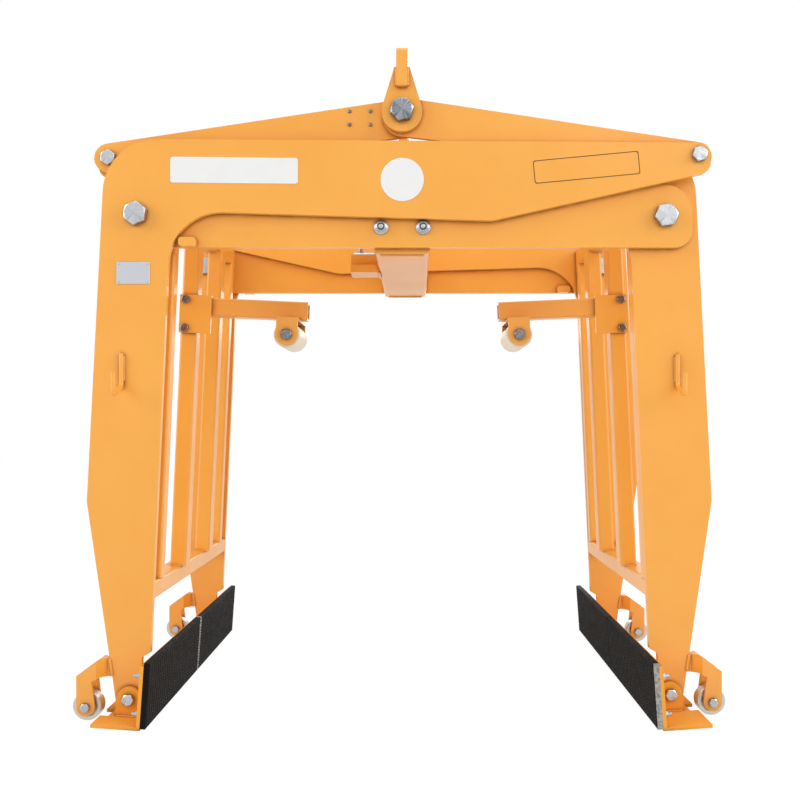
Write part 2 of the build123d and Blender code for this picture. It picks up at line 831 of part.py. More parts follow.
def lifting_part():
    cheek_faces = (left_face, right_face)
    with BuildPart() as cheeks:
        for face in cheek_faces:
            with BuildSketch(front_plane(face - plate)):
                with Locations((0, pin_z)):
                    Circle(cheek_radius)
                with Locations((0, pin_z + cheek_top / 2)):
                    Rectangle(2 * cheek_top_half, cheek_top)
                make_hull()
                with Locations((0, lifting_bottom + cheek_top)):
                    Rectangle(lifting_plate, 2 * cheek_top, mode=Mode.SUBTRACT)
            extrude(amount=plate)
        mirror(about=Plane.XZ)
        cross_hole(0, pin_z, m30[0] + 2 * running_clearance, left_face)
    save(cheeks, "lifting_cheeks")
    with BuildPart() as pins:
        hex_bolt(0, pin_z, m30, left_face, right_face - plate, pin_head_turn)
        mirror(about=Plane.XZ)
    save(pins, "lifting_pins")
    with BuildPart() as beam:
        end_top = lifting_bottom + lifting_end_height
        crown = lifting_bottom + lifting_crown
        with BuildSketch(Plane.YZ.offset(-lifting_plate / 2)):
            with BuildLine():
                FilletPolyline(
                    (-lifting_half, lifting_bottom),
                    (lifting_half, lifting_bottom),
                    (lifting_half, end_top),
                    (crown_half, crown),
                    (-crown_half, crown),
                    (-lifting_half, end_top),
                    radius=(0, 0, lifting_end_radius, crown_radius, crown_radius, lifting_end_radius),
                    close=True,
                )
            make_face()
            with Locations((0, lifting_bottom + eye_up)):
                Circle(eye_diameter / 2, mode=Mode.SUBTRACT)
        extrude(amount=lifting_plate)
    save(beam, "lifting_beam")
    with BuildPart() as hanger:
        low = latch_z - slot_height / 2 - hanger_below_slot
        with BuildSketch(Plane.YZ.offset(-hanger_thickness / 2)):
            with Locations((latch_y, (lifting_bottom + low) / 2)):
                Rectangle(hanger_width, lifting_bottom - low)
            with Locations((latch_y, latch_z)):
                RectangleRounded(slot_width, slot_height, slot_corner, mode=Mode.SUBTRACT)
        extrude(amount=hanger_thickness)
    save(hanger, "latch_hanger")


# Tool hooks
def tool_hook(side):
    x = side * (pivot_x + hook_out)
    top = pivot_z - hook_below_pivot
    stem = leg_face(side) + hook_diameter / 2
    path_points = (
        (x, -stem, top),
        (x, -stem, top - hook_stem),
        (x, -stem - hook_reach, top - hook_drop),
        (x, -stem - hook_reach, top - hook_tip_drop),
    )
    with BuildPart() as hook:
        with BuildLine() as path:
            FilletPolyline(*path_points, radius=hook_bend_radius)
        with BuildSketch(Plane(origin=path_points[0], z_dir=(0, 0, -1))):
            Circle(hook_diameter / 2)
        sweep(path=path.line)
    save(hook, f"{side_name(side)}_hook")


for front in (True, False):
    beam_plate(front)
centre_channel()
stop_pegs()
latch()
left_spacers()
lifting_part()
for side in (LEFT, RIGHT):
    pivot_bolts(side)
    lug_bolts(side)
    leg_frame(side)
    wheel_forks(side)
    pad_carrier(side)
    guide_roller(side)
    tool_hook(side)
    for front in (True, False):
        leg_plate(side, front)
        link_plate(side, front)
        wheel(side, front)
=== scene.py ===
"""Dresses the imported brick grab: finishes, blank plates, small fasteners, welds and the studio."""

import json
import math

import bmesh
import bpy
import numpy as np
from bpy.props import FloatProperty, FloatVectorProperty, PointerProperty
from bpy.types import Operator, Panel, PropertyGroup
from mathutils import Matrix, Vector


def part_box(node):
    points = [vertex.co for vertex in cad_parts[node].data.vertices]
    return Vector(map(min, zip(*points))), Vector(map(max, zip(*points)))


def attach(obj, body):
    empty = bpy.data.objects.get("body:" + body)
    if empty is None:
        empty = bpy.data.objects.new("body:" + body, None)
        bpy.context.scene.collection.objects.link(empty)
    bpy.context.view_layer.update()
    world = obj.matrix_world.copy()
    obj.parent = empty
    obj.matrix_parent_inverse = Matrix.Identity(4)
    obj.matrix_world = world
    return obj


bl_info = {
    "name": "Brick grab dressing",
    "version": (1, 0, 0),
    "blender": (4, 5, 0),
    "location": "3D View > Sidebar > Grab",
    "description": "Finishes, blank plates, small fasteners, welds and a studio for a brick grab",
    "category": "Object",
}

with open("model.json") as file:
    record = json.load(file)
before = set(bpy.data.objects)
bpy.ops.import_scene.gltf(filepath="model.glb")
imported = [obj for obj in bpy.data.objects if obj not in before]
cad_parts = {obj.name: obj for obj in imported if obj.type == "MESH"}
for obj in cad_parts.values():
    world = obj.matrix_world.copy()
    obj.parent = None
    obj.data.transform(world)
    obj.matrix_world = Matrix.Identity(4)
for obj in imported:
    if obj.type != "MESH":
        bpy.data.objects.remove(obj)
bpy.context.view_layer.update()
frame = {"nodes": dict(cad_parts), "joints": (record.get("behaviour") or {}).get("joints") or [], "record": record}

LEFT, RIGHT = -1, 1
SIDES = {"left": LEFT, "right": RIGHT}
BOTH = (-1, 1)
FORWARD = (0, -1, 0)
ALONG = np.array((0.0, 1.0, 0.0))
WELD = 1e-6
WHITE = (1.0, 1.0, 1.0, 1.0)


def joint_place(name):
    """Place of a joint at rest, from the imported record."""
    return np.array(next(j["pos_m"] for j in frame["joints"] if j["name"] == name))


def plate_face(side):
    """Y of the front face of a leg's front plate."""
    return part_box(f"{side}_leg_front_plate")[0].y


def tint(name, description, default):
    """A setting that is a colour."""
    return FloatVectorProperty(name=name, description=description, subtype="COLOR", default=default)


def measure(name, description, default):
    """A setting that is a length in metres."""
    return FloatProperty(name=name, description=description, unit="LENGTH", default=default)


class GrabFinish(PropertyGroup):
    """Colours of the finishes."""

    paint: tint("Paint", "Powder coat colour", (0.93, 0.416, 0.058))
    paint_deep: tint("Thin paint", "Powder coat where it is thinner", (0.90, 0.388, 0.048))
    # Painted shade: the dark colour the coat is mixed towards in inside corners and gaps.
    painted_shade: tint("Painted shade", "Coat in inside corners", (0.30, 0.085, 0.010))
    zinc: tint("Zinc", "Plated bolt colour", (0.45, 0.48, 0.51))
    pin_steel: tint("Pin steel", "Colour of the lifting pins", (0.11, 0.14, 0.18))
    worn_steel: tint("Worn steel", "Rollers' fasteners and link screws", (0.17, 0.175, 0.18))
    wheel_zinc: tint("Wheel zinc", "Plating on the wheels", (0.56, 0.57, 0.56))
    zinc_yellow: tint("Passivated zinc", "Tint of the plating on the wheels", (0.64, 0.60, 0.50))
    aluminium: tint("Aluminium", "Data plate colour", (0.60, 0.61, 0.645))
    brushed: tint("Brushed aluminium", "Data plate in its brush strokes", (0.50, 0.51, 0.54))
    nylon: tint("Nylon", "Guide roller colour", (0.84, 0.77, 0.58))
    nylon_rubbed: tint("Rubbed nylon", "Marks on the guide rollers", (0.52, 0.47, 0.36))
    rubber: tint("Rubber", "Gripping pad colour", (0.006, 0.0055, 0.005))
    rubbed: tint("Rubbed rubber", "Stud tops of the pads", (0.029, 0.023, 0.018))
    ply: tint("Ply", "Fabric where a pad is cut", (0.44, 0.43, 0.41))
    insert: tint("Insert", "Locking ring of the nuts", (0.022, 0.024, 0.028))
    insert_scuffed: tint("Scuffed insert", "Locking ring where it is scuffed", (0.05, 0.052, 0.056))
    dust: tint("Dust", "Brick and floor dust", (0.46, 0.38, 0.31))
    vinyl: tint("Vinyl", "Blank sticker colour", (0.86, 0.86, 0.85))
    vinyl_hazy: tint("Hazy vinyl", "Blank stickers where they were handled", (0.78, 0.77, 0.75))
    ink: tint("Line", "Colour of the printed line", (0.10, 0.045, 0.012))
    ink_thin: tint("Thin line", "Printed line where it is thinner", (0.20, 0.085, 0.02))


class GrabTrim(PropertyGroup):
    """Sizes of the blank plates, small fasteners and welds."""

    sticker: measure("Sticker", "Sticker thickness", 0.0006)
    data_plate: measure("Data plate", "Its thickness", 0.0012)
    disc_radius: measure("Disc", "Radius of the disc", 0.048)
    line: measure("Line", "Width of the printed line", 0.0016)
    bead: measure("Weld", "Weld bead radius", 0.0042)
    ripple: measure("Ripple", "Weld ripple spacing", 0.0045)
    stud: measure("Stud", "Pad stud diameter", 0.008)
    screw: measure("Screw", "Link screw head radius", 0.0042)


class GrabStage(PropertyGroup):
    """Camera and light."""

    distance: measure("Distance", "Camera in front of the middle", 2.596)
    aside: measure("Aside", "Camera right of the middle", 0.028)
    height: measure("Height", "Camera above the floor", 0.660)
    lens: FloatProperty(name="Lens", description="Focal length in mm on a 36 mm frame", default=44.26)
    floor: measure("Floor", "Half width of the floor", 14.0)
    ambient: FloatProperty(name="Ambient", description="Strength of the white surround", default=0.50)
    key: FloatProperty(name="Key", description="Power of a softbox in watts", default=40.0)


def grid_faces(rows, columns, wrap_rows=False, wrap_columns=False):
    """Quads of a grid of points: each joins a point, the next in its row and the two after them."""
    r = np.arange(rows if wrap_rows else rows - 1)
    c = np.arange(columns if wrap_columns else columns - 1)
    row, column = (a.ravel() for a in np.meshgrid(r, c, indexing="ij"))
    row_after, column_after = (row + 1) % rows, (column + 1) % columns
    return np.stack(
        (
            row * columns + column,
            row * columns + column_after,
            row_after * columns + column_after,
            row_after * columns + column,
        ),
        axis=1,
    )


def axis_frame(axis, nearly_upright=0.9):
    """A unit axis and two unit vectors square to it and to each other, right-handed with it."""
    axis = np.asarray(axis, float) / np.linalg.norm(axis)
    upright = abs(axis[2]) >= nearly_upright
    helper = np.array((1.0, 0.0, 0.0)) if upright else np.array((0.0, 0.0, 1.0))
    first = np.cross(helper, axis)
    first /= np.linalg.norm(first)
    return axis, first, np.cross(axis, first)


def circle(segments):
    """Cosine and sine round a whole turn, as rows (cos t, sin t)."""
    turn = np.linspace(0, 2 * np.pi, segments, endpoint=False)
    return np.stack((np.cos(turn), np.sin(turn)), axis=1)


def turned(profile, centre, axis, segments):
    """Surface of revolution: point = centre + h axis + r (cos t a + sin t b), for each (r, h)."""
    axis, first, second = axis_frame(axis)
    cos, sin = circle(segments).T
    r, h = np.array(profile, float).T
    around = cos[:, None] * first + sin[:, None] * second
    points = np.asarray(centre) + h[:, None, None] * axis + r[:, None, None] * around
    return points.reshape(-1, 3), grid_faces(len(r), segments, wrap_columns=True)


def bead(start, end, radius, ripple, bulge=0.16, sides=8, rings_a_ripple=4, fewest_rings=6):
    """Weld run: a tube on a line, radius R (1 + bulge |sin(pi s / ripple)|), drawn to a point at each end."""
    start, end = np.asarray(start, float), np.asarray(end, float)
    length = np.linalg.norm(end - start)
    rings = max(fewest_rings, int(rings_a_ripple * length / ripple))
    s = np.linspace(0, length, rings)
    swell = radius * (1 + bulge * np.abs(np.sin(np.pi * s / ripple)))
    swell[[0, -1]] = 0.0
    return turned(np.stack((swell, s), axis=1), start, end - start, sides)


def rounded_outline(half_width, half_height, radius, per_corner=8):
    """Rounded rectangle: a quarter circle round each corner's centre, in turn."""
    quarter = np.linspace(0, np.pi / 2, per_corner)
    corners = ((1, 1), (-1, 1), (-1, -1), (1, -1))
    turns = np.concatenate([quarter + k * np.pi / 2 for k in range(len(corners))])
    centre_x = np.repeat([x for x, z in corners], per_corner) * (half_width - radius)
    centre_z = np.repeat([z for x, z in corners], per_corner) * (half_height - radius)
    return np.stack((centre_x + radius * np.cos(turns), centre_z + radius * np.sin(turns)), axis=1)


def tilted(outline, tilt):
    """An outline turned about its middle."""
    c, s = math.cos(tilt), math.sin(tilt)
    return outline @ np.array(((c, s), (-s, c)))


def sheet_on_plate(outline, centre, face, thickness, tilt=0.0, chamfer=0.35):
    """Thin sheet on a front face: its outline scaled ring by ring, out on the back, up the edge and in."""
    flat = tilted(outline, tilt)
    bevel = 1 - chamfer * thickness / np.abs(outline).max()
    rings = ((0.0, 0.0), (1.0, 0.0), (1.0, 0.7), (bevel, 1.0), (0.5, 1.0), (0.0, 1.0))
    scale, lift = np.array(rings).T
    x = centre[0] + scale[:, None] * flat[None, :, 0]
    z = centre[1] + scale[:, None] * flat[None, :, 1]
    y = np.broadcast_to(face - thickness * lift[:, None], x.shape)
    points = np.stack((x, y, z), axis=2)
    return points.reshape(-1, 3), grid_faces(len(rings), len(outline), wrap_columns=True)


def band(outline, centre, face, thickness, width, tilt=0.0):
    """Raised line that follows an outline: out, up, across its width and down again."""
    inner = outline - width * np.sign(outline)
    rows = ((outline, 0.0), (outline, 1.0), (inner, 1.0), (inner, 0.0))
    layers = []
    for edge, lift in rows:
        flat = tilted(edge, tilt)
        y = np.full(len(edge), face - thickness * lift)
        layers.append(np.stack((centre[0] + flat[:, 0], y, centre[1] + flat[:, 1]), axis=1))
    return np.concatenate(layers), grid_faces(len(rows), len(outline), wrap_rows=True, wrap_columns=True)


def joined(surfaces):
    """One mesh of many surfaces: points stacked, faces shifted past those before."""
    points, faces, start = [], [], 0
    for surface_points, *blocks in surfaces:
        points.append(surface_points)
        for block in blocks:
            faces += (block + start).tolist()
        start += len(surface_points)
    return np.concatenate(points), faces


def put(name, surfaces, body, material, smooth=True):
    """Make a piece from closed surfaces: weld its poles, face it outwards and let it ride on a body."""
    points, faces = joined(surfaces)
    mesh = bpy.data.meshes.new(name)
    mesh.from_pydata(points.tolist(), [], faces)
    welded = bmesh.new()
    welded.from_mesh(mesh)
    bmesh.ops.remove_doubles(welded, verts=welded.verts, dist=WELD)
    bmesh.ops.recalc_face_normals(welded, faces=welded.faces)
    welded.to_mesh(mesh)
    welded.free()
    mesh.polygons.foreach_set("use_smooth", np.full(len(mesh.polygons), smooth))
    mesh.update()
    mesh.materials.append(material)
    piece = bpy.data.objects.new(name, mesh)
    bpy.context.scene.collection.objects.link(piece)
    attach(piece, body)
    return piece


class Nodes:
    """Short calls to place and join the nodes of one tree."""

    mix_inputs, mix_result = (0, 6, 7), 2

    def __init__(self, tree):
        self.tree = tree

    def give(self, socket, value):
        """Link an output to an input, or set the input's own value."""
        if isinstance(value, bpy.types.NodeSocket):
            self.tree.links.new(value, socket)
        else:
            socket.default_value = value

    def add(self, kind, inputs=(), **settings):
        node = self.tree.nodes.new(kind)
        for key, value in settings.items():
            setattr(node, key, value)
        for key, value in dict(inputs).items():
            self.give(node.inputs[key], value)
        return node

    def noise(self, vector, scale, detail=3.0, roughness=0.5):
        inputs = {"Vector": vector, "Scale": scale, "Detail": detail, "Roughness": roughness}
        return self.add("ShaderNodeTexNoise", inputs).outputs["Fac"]

    def span(self, value, low, high, to_low=0.0, to_high=1.0):
        inputs = {"Value": value, "From Min": low, "From Max": high, "To Min": to_low, "To Max": to_high}
        return self.add("ShaderNodeMapRange", inputs).outputs["Result"]

    def between(self, share, low, high):
        return self.span(share, 0.0, 1.0, low, high)

    def math(self, operation, first, second=0.0):
        return self.add("ShaderNodeMath", {0: first, 1: second}, operation=operation).outputs[0]

    def plus(self, first, second):
        return self.math("ADD", first, second)

    def times(self, first, second):
        return self.math("MULTIPLY", first, second)

    def vectors(self, operation, *vectors):
        return self.add("ShaderNodeVectorMath", dict(enumerate(vectors)), operation=operation).outputs

    def part(self, vector, axis):
        return self.add("ShaderNodeSeparateXYZ", {"Vector": vector}).outputs[axis]

    def mix(self, factor, first, second):
        inputs = dict(zip(self.mix_inputs, (factor, first, second)))
        return self.add("ShaderNodeMix", inputs, data_type="RGBA").outputs[self.mix_result]


def group(name, inputs, outputs, build, places=("Vector", "Centre")):
    """Shader node group, built once: places are vector sockets, and all others are values."""
    tree = bpy.data.node_groups.new(name, "ShaderNodeTree")
    for way, labels in (("INPUT", inputs), ("OUTPUT", outputs)):
        for label in labels:
            kind = "NodeSocketVector" if label in places else "NodeSocketFloat"
            tree.interface.new_socket(name=label, in_out=way, socket_type=kind)
    nodes = Nodes(tree)
    entry = nodes.add("NodeGroupInput")
    exit_node = nodes.add("NodeGroupOutput")
    for label, socket in build(nodes, entry.outputs).items():
        nodes.give(exit_node.inputs[label], socket)
    return tree


def grain_group():
    """Orange peel height, and a slow mottle of thicker and thinner coat."""

    def build(nodes, given):
        peel = nodes.noise(given["Vector"], given["Peel scale"], detail=2.0)
        wave = nodes.noise(given["Vector"], given["Mottle scale"], detail=4.0, roughness=0.55)
        return {"Height": peel, "Mottle": nodes.span(wave, low=0.34, high=0.68)}

    return group("Coat grain", ("Vector", "Peel scale", "Mottle scale"), ("Height", "Mottle"), build)


def dust_group():
    """Mask that is strongest at the floor, broken up by noise, with sparse scuffs all over."""

    def build(nodes, given):
        place, fade = given["Vector"], 2.0
        low = nodes.math("POWER", nodes.span(nodes.part(place, "Z"), low=given["Reach"], high=0.0), fade)
        patch = nodes.span(nodes.noise(place, scale=38.0, detail=5.0, roughness=0.6), low=0.42, high=0.72)
        speck = nodes.span(nodes.noise(place, scale=260.0, detail=2.0), low=0.735, high=0.80)
        area = nodes.span(nodes.noise(place, scale=9.0, detail=2.0), low=0.50, high=0.66)
        dusty = nodes.math("MAXIMUM", nodes.times(low, patch), nodes.times(speck, area))
        return {"Mask": nodes.times(dusty, given["Amount"])}

    return group("Floor dust", ("Vector", "Reach", "Amount"), ("Mask",), build)


def corner_shade_group():
    """Painted shade for inside corners and gaps: a mask from ambient occlusion within a short reach, broken up by
    noise.
    """

    def build(nodes, given):
        reach = {"Distance": given["Reach"]}
        free = nodes.add("ShaderNodeAmbientOcclusion", reach, samples=8).outputs["AO"]
        uneven = nodes.noise(given["Vector"], scale=30.0, detail=3.0)
        patch = nodes.span(uneven, low=0.30, high=0.60, to_low=0.6, to_high=1.0)
        closed = nodes.times(nodes.span(free, low=0.92, high=0.50), patch)
        return {"Mask": nodes.times(closed, given["Amount"])}

    return group("Painted corner shade", ("Vector", "Reach", "Amount"), ("Mask",), build)


def plating_group():
    """Crystals of a plated surface: cell tone, cloudy tint and fine scratch height."""

    def build(nodes, given):
        crystals = {"Vector": given["Vector"], "Scale": given["Crystal scale"]}
        cells = nodes.add("ShaderNodeTexVoronoi", crystals).outputs["Color"]
        tone = nodes.add("ShaderNodeSeparateColor", {"Color": cells}).outputs["Red"]
        cloud = nodes.noise(given["Vector"], given["Cloud scale"], detail=4.0)
        scratch = nodes.noise(given["Vector"], given["Scratch scale"], detail=3.0, roughness=0.7)
        return {"Tone": tone, "Cloud": nodes.span(cloud, low=0.35, high=0.70), "Height": scratch}

    inputs = ("Vector", "Crystal scale", "Cloud scale", "Scratch scale")
    return group("Zinc plating", inputs, ("Tone", "Cloud", "Height"), build)


def turning_group():
    """Lathe marks about an axis along Y: rings by the distance from it, as relief, and painted sheen by the way
    from it, sectors of tone that stand in for the highlights of a turned face.
    """

    def build(nodes, given):
        local = nodes.vectors("SUBTRACT", given["Vector"], given["Centre"])["Vector"]
        flat = nodes.vectors("MULTIPLY", local, (1.0, 0.0, 1.0))["Vector"]
        radius = nodes.vectors("LENGTH", flat)["Value"]
        rings = nodes.math("SINE", nodes.times(radius, given["Ring scale"]))
        way = nodes.vectors("NORMALIZE", flat)["Vector"]
        painted_sheen = nodes.span(nodes.noise(way, given["Streak scale"], detail=2.0), low=0.35, high=0.65)
        return {"Rings": rings, "Streaks": painted_sheen}

    inputs = ("Vector", "Centre", "Ring scale", "Streak scale")
    return group("Lathe marks", inputs, ("Rings", "Streaks"), build)


GROUPS = {
    "grain": grain_group,
    "dust": dust_group,
    "corner_shade": corner_shade_group,
    "plating": plating_group,
    "turning": turning_group,
}
BUILT = {}


def shared(name):
    """The shared group of that name, built on first use."""
    if name not in BUILT:
        BUILT[name] = GROUPS[name]()
    return BUILT[name]


def colour(value):
    """A colour setting as an opaque socket value."""
    return (*value, 1.0)


class Finish:
    """A material under way: its nodes, object coordinates and Principled shader."""

    def __init__(self, name, **constants):
        self.material = bpy.data.materials.new(name)
        self.material.use_nodes = True
        self.nodes = Nodes(self.material.node_tree)
        self.shader = self.material.node_tree.nodes["Principled BSDF"]
        self.place = self.nodes.add("ShaderNodeTexCoord").outputs["Object"]
        for key, value in constants.items():
            self.shader.inputs[key.replace("_", " ")].default_value = value

    def use(self, name, **inputs):
        """Outputs of a shared group, with its inputs linked or set."""
        node = self.nodes.add("ShaderNodeGroup", node_tree=shared(name))
        for key, value in {"Vector": self.place, **inputs}.items():
            self.nodes.give(node.inputs[key.replace("_", " ")], value)
        return node.outputs

    def done(self, base, rough, height=None, strength=0.0, depth=0.0):
        """The material, with colour, roughness and relief joined to its shader."""
        self.nodes.give(self.shader.inputs["Base Color"], base)
        self.nodes.give(self.shader.inputs["Roughness"], rough)
        if height is not None:
            relief = {"Height": height, "Strength": strength, "Distance": depth}
            normal = self.nodes.add("ShaderNodeBump", relief).outputs["Normal"]
            self.nodes.give(self.shader.inputs["Normal"], normal)
        return self.material


def powder_coat(name, finish, rough, dusty=0.3, **sheen):
    """Orange coat, glossy or scuffed: peel, a slow mottle, painted shade in crevices and dust near the floor."""
    made = Finish(f"{name} powder coat", IOR=1.5, **sheen)
    nodes = made.nodes
    grain = made.use("grain", Peel_scale=620.0, Mottle_scale=5.5)
    painted = nodes.mix(grain["Mottle"], colour(finish.paint), colour(finish.paint_deep))
    dust = made.use("dust", Reach=0.22, Amount=0.10)
    # Painted shade: the coat darkens to dark brown where ambient occlusion finds inside corners and gaps.
    corner_shade = made.use("corner_shade", Reach=0.012, Amount=0.8)
    shaded_coat = nodes.mix(corner_shade["Mask"], painted, colour(finish.painted_shade))
    base = nodes.mix(dust["Mask"], shaded_coat, colour(finish.dust))
    dulled = nodes.plus(nodes.between(grain["Mottle"], *rough), nodes.times(dust["Mask"], dusty))
    return made.done(base, dulled, grain["Height"], strength=0.06, depth=0.0006)


def zinc_plate(name, base, centre=None):
    """Bright zinc with crystals and a faint cloud; where all the bolts share one axis, lathe rings in relief and
    painted highlight sectors round it.
    """
    made = Finish(f"{name} plating", Metallic=1.0)
    nodes = made.nodes
    dull, kept, lift = 0.70, 0.5, 0.42
    crystals, marked, painted_sheen, rings = 0.45, 0.5, 0.7, 0.4
    plating = made.use("plating", Crystal_scale=420.0, Cloud_scale=70.0, Scratch_scale=900.0)
    clouded = tuple(dull * value for value in base)
    lighter = tuple(kept * value + lift for value in base)
    cloudy = nodes.mix(plating["Cloud"], colour(base), colour(clouded))
    tone, height = nodes.times(plating["Tone"], crystals), plating["Height"]
    if centre is not None:
        # Painted highlight: lighter and darker sectors round the axis stand in for the radial highlights of a
        # turned face.
        marks = made.use("turning", Centre=centre, Ring_scale=4200.0, Streak_scale=3.4)
        tone = nodes.plus(nodes.times(tone, marked), nodes.times(marks["Streaks"], painted_sheen))
        height = nodes.plus(height, nodes.times(marks["Rings"], rings))
    rough = nodes.between(plating["Cloud"], 0.26, 0.40)
    return made.done(nodes.mix(tone, cloudy, colour(lighter)), rough, height, strength=0.10, depth=0.0004)


def wheel_zinc(name, centre, finish, rings=0.4):
    """Yellowish plated wheel: turned rings about its own axle, plating cloud and floor dust."""
    made = Finish(f"{name} plating", Metallic=0.85)
    nodes = made.nodes
    plating = made.use("plating", Crystal_scale=260.0, Cloud_scale=40.0, Scratch_scale=700.0)
    marks = made.use("turning", Centre=centre, Ring_scale=7000.0, Streak_scale=2.0)
    plated = nodes.mix(plating["Cloud"], colour(finish.wheel_zinc), colour(finish.zinc_yellow))
    dust = made.use("dust", Reach=0.05, Amount=0.3)
    base = nodes.mix(dust["Mask"], plated, colour(finish.dust))
    height = nodes.plus(nodes.times(marks["Rings"], rings), plating["Height"])
    return made.done(base, nodes.between(plating["Tone"], 0.34, 0.50), height, strength=0.08, depth=0.0005)


def turned_nylon(finish, lines=5200.0, line_height=0.35, marked=0.25):
    """Cream nylon with lathe lines along the roller and faint grey rubbed marks."""
    made = Finish("turned nylon", IOR=1.53, Subsurface_Weight=0.12, Subsurface_Scale=0.004)
    nodes = made.nodes
    lathe = nodes.math("SINE", nodes.times(nodes.part(made.place, "Y"), lines))
    rubbed = nodes.span(nodes.noise(made.place, scale=30.0, detail=5.0, roughness=0.6), low=0.50, high=0.78)
    base = nodes.mix(nodes.times(rubbed, marked), colour(finish.nylon), colour(finish.nylon_rubbed))
    height = nodes.plus(nodes.times(lathe, line_height), rubbed)
    return made.done(base, nodes.between(rubbed, 0.38, 0.55), height, strength=0.10, depth=0.0004)


def grip_rubber(name, finish, pale_from, pale_to):
    """Black rubber: dark grooves, stud tops rubbed lighter, moulded grain, and pale ply colour on a span along the
    pad: the right pad's cut end, and a band at the left pad's seam.
    """
    made = Finish(f"{name} rubber", IOR=1.52, Specular_IOR_Level=0.1)
    nodes = made.nodes
    grain = nodes.noise(made.place, scale=900.0, detail=3.0, roughness=0.6)
    chalk = nodes.span(nodes.noise(made.place, scale=55.0, detail=6.0, roughness=0.65), low=0.40, high=0.75)
    tops = nodes.add("ShaderNodeAttribute", attribute_name="rubbed").outputs["Fac"]
    rubbed = nodes.times(tops, nodes.between(chalk, 0.35, 1.0))
    black = nodes.mix(rubbed, colour(finish.rubber), colour(finish.rubbed))
    along = nodes.part(made.place, "Y")
    inside = (nodes.math("GREATER_THAN", along, pale_from), nodes.math("LESS_THAN", along, pale_to))
    woven = nodes.noise(made.place, scale=140.0, detail=4.0)
    threads = nodes.span(woven, low=0.30, high=0.60, to_low=0.35, to_high=1.0)
    base = nodes.mix(nodes.times(nodes.times(*inside), threads), black, colour(finish.ply))
    return made.done(base, nodes.between(chalk, 0.62, 0.86), grain, strength=0.35, depth=0.0008)


def nut_insert(finish):
    """Dark nylon ring of a locking nut, scuffed where the screw came through."""
    made = Finish("nut insert", IOR=1.5)
    nodes = made.nodes
    scuffs = nodes.span(nodes.noise(made.place, scale=500.0, detail=3.0), low=0.45, high=0.70)
    base = nodes.mix(scuffs, colour(finish.insert), colour(finish.insert_scuffed))
    return made.done(base, nodes.between(scuffs, 0.35, 0.55))


def blank_vinyl(finish, handled=0.3):
    """White printed vinyl with nothing on it: slight waviness and handling haze."""
    made = Finish("blank vinyl", IOR=1.48, Coat_Weight=0.15)
    nodes = made.nodes
    haze = nodes.span(nodes.noise(made.place, scale=22.0, detail=4.0), low=0.45, high=0.75)
    base = nodes.mix(nodes.times(haze, handled), colour(finish.vinyl), colour(finish.vinyl_hazy))
    waves = nodes.noise(made.place, scale=120.0, detail=2.0)
    return made.done(base, nodes.between(haze, 0.32, 0.46), waves, strength=0.05, depth=0.0005)


def printed_line(finish):
    """Dark printed line, slightly uneven."""
    made = Finish("printed line", IOR=1.45)
    nodes = made.nodes
    uneven = nodes.span(nodes.noise(made.place, scale=400.0, detail=3.0), low=0.4, high=0.8)
    base = nodes.mix(uneven, colour(finish.ink), colour(finish.ink_thin))
    return made.done(base, nodes.between(uneven, 0.45, 0.6))


def brushed_plate(finish):
    """Aluminium plate brushed along X: noise stretched along the strokes."""
    made = Finish("brushed aluminium", Metallic=1.0)
    nodes = made.nodes
    stretch = {"Vector": made.place, "Scale": (30.0, 900.0, 900.0)}
    stretched = nodes.add("ShaderNodeMapping", stretch).outputs["Vector"]
    strokes = nodes.noise(stretched, scale=1.0, detail=4.0, roughness=0.6)
    base = nodes.mix(strokes, colour(finish.aluminium), colour(finish.brushed))
    rough = nodes.span(strokes, low=0.3, high=0.7, to_low=0.34, to_high=0.50)
    return made.done(base, rough, strokes, strength=0.12, depth=0.0003)


def coat(names, material):
    """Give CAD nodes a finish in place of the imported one."""
    for name in names:
        mesh = frame["nodes"][name].data
        mesh.materials.clear()
        mesh.materials.append(material)


def nodes_in_slot(slot):
    """Names of the CAD nodes with a material slot."""
    return [s["node"] for s in frame["record"]["subparts"] if s["material_slot"] == slot]


def finish_of(context):
    return context.scene.grab_finish


def trim_of(context):
    return context.scene.grab_trim


class PadCarrier:
    """Places on a leaning pad carrier: out from the outer foot of its backing, and up its lean."""

    tilt = math.radians(4)
    inside_pivot = 0.035
    backing, flange, sheet = 0.008, 0.007, 0.012
    pad_low, pad_high = 0.004, 0.145
    half, seam = 0.5, 0.002

    def __init__(self, side, sign):
        pivot = joint_place(f"{side}_pad_tilt")
        self.outwards = np.array((sign * math.cos(self.tilt), 0.0, math.sin(self.tilt)))
        self.up = np.array((-sign * math.sin(self.tilt), 0.0, math.cos(self.tilt)))
        out = abs(pivot[0]) - self.inside_pivot
        self.corner = np.array((sign * out, 0.0, self.backing * math.sin(self.tilt)))


PAINT = {}


class GRAB_OT_coat_steel(Operator):
    """Powder coat every steel plate, tube and bracket, scuffed on the pad carriers at the floor"""

    bl_idname = "grab.coat_steel"
    bl_label = "Coat steel"

    rough, scuffed = (0.40, 0.50), (0.66, 0.78)

    def execute(self, context):
        finish = finish_of(context)
        PAINT["coat"] = powder_coat("orange", finish, self.rough, Coat_Weight=0.30, Coat_Roughness=0.14)
        coat(nodes_in_slot("orange_paint"), PAINT["coat"])
        dull = powder_coat("scuffed orange", finish, self.scuffed, Specular_IOR_Level=0.15)
        coat([f"{side}_pad_carrier" for side in SIDES], dull)
        return {"FINISHED"}


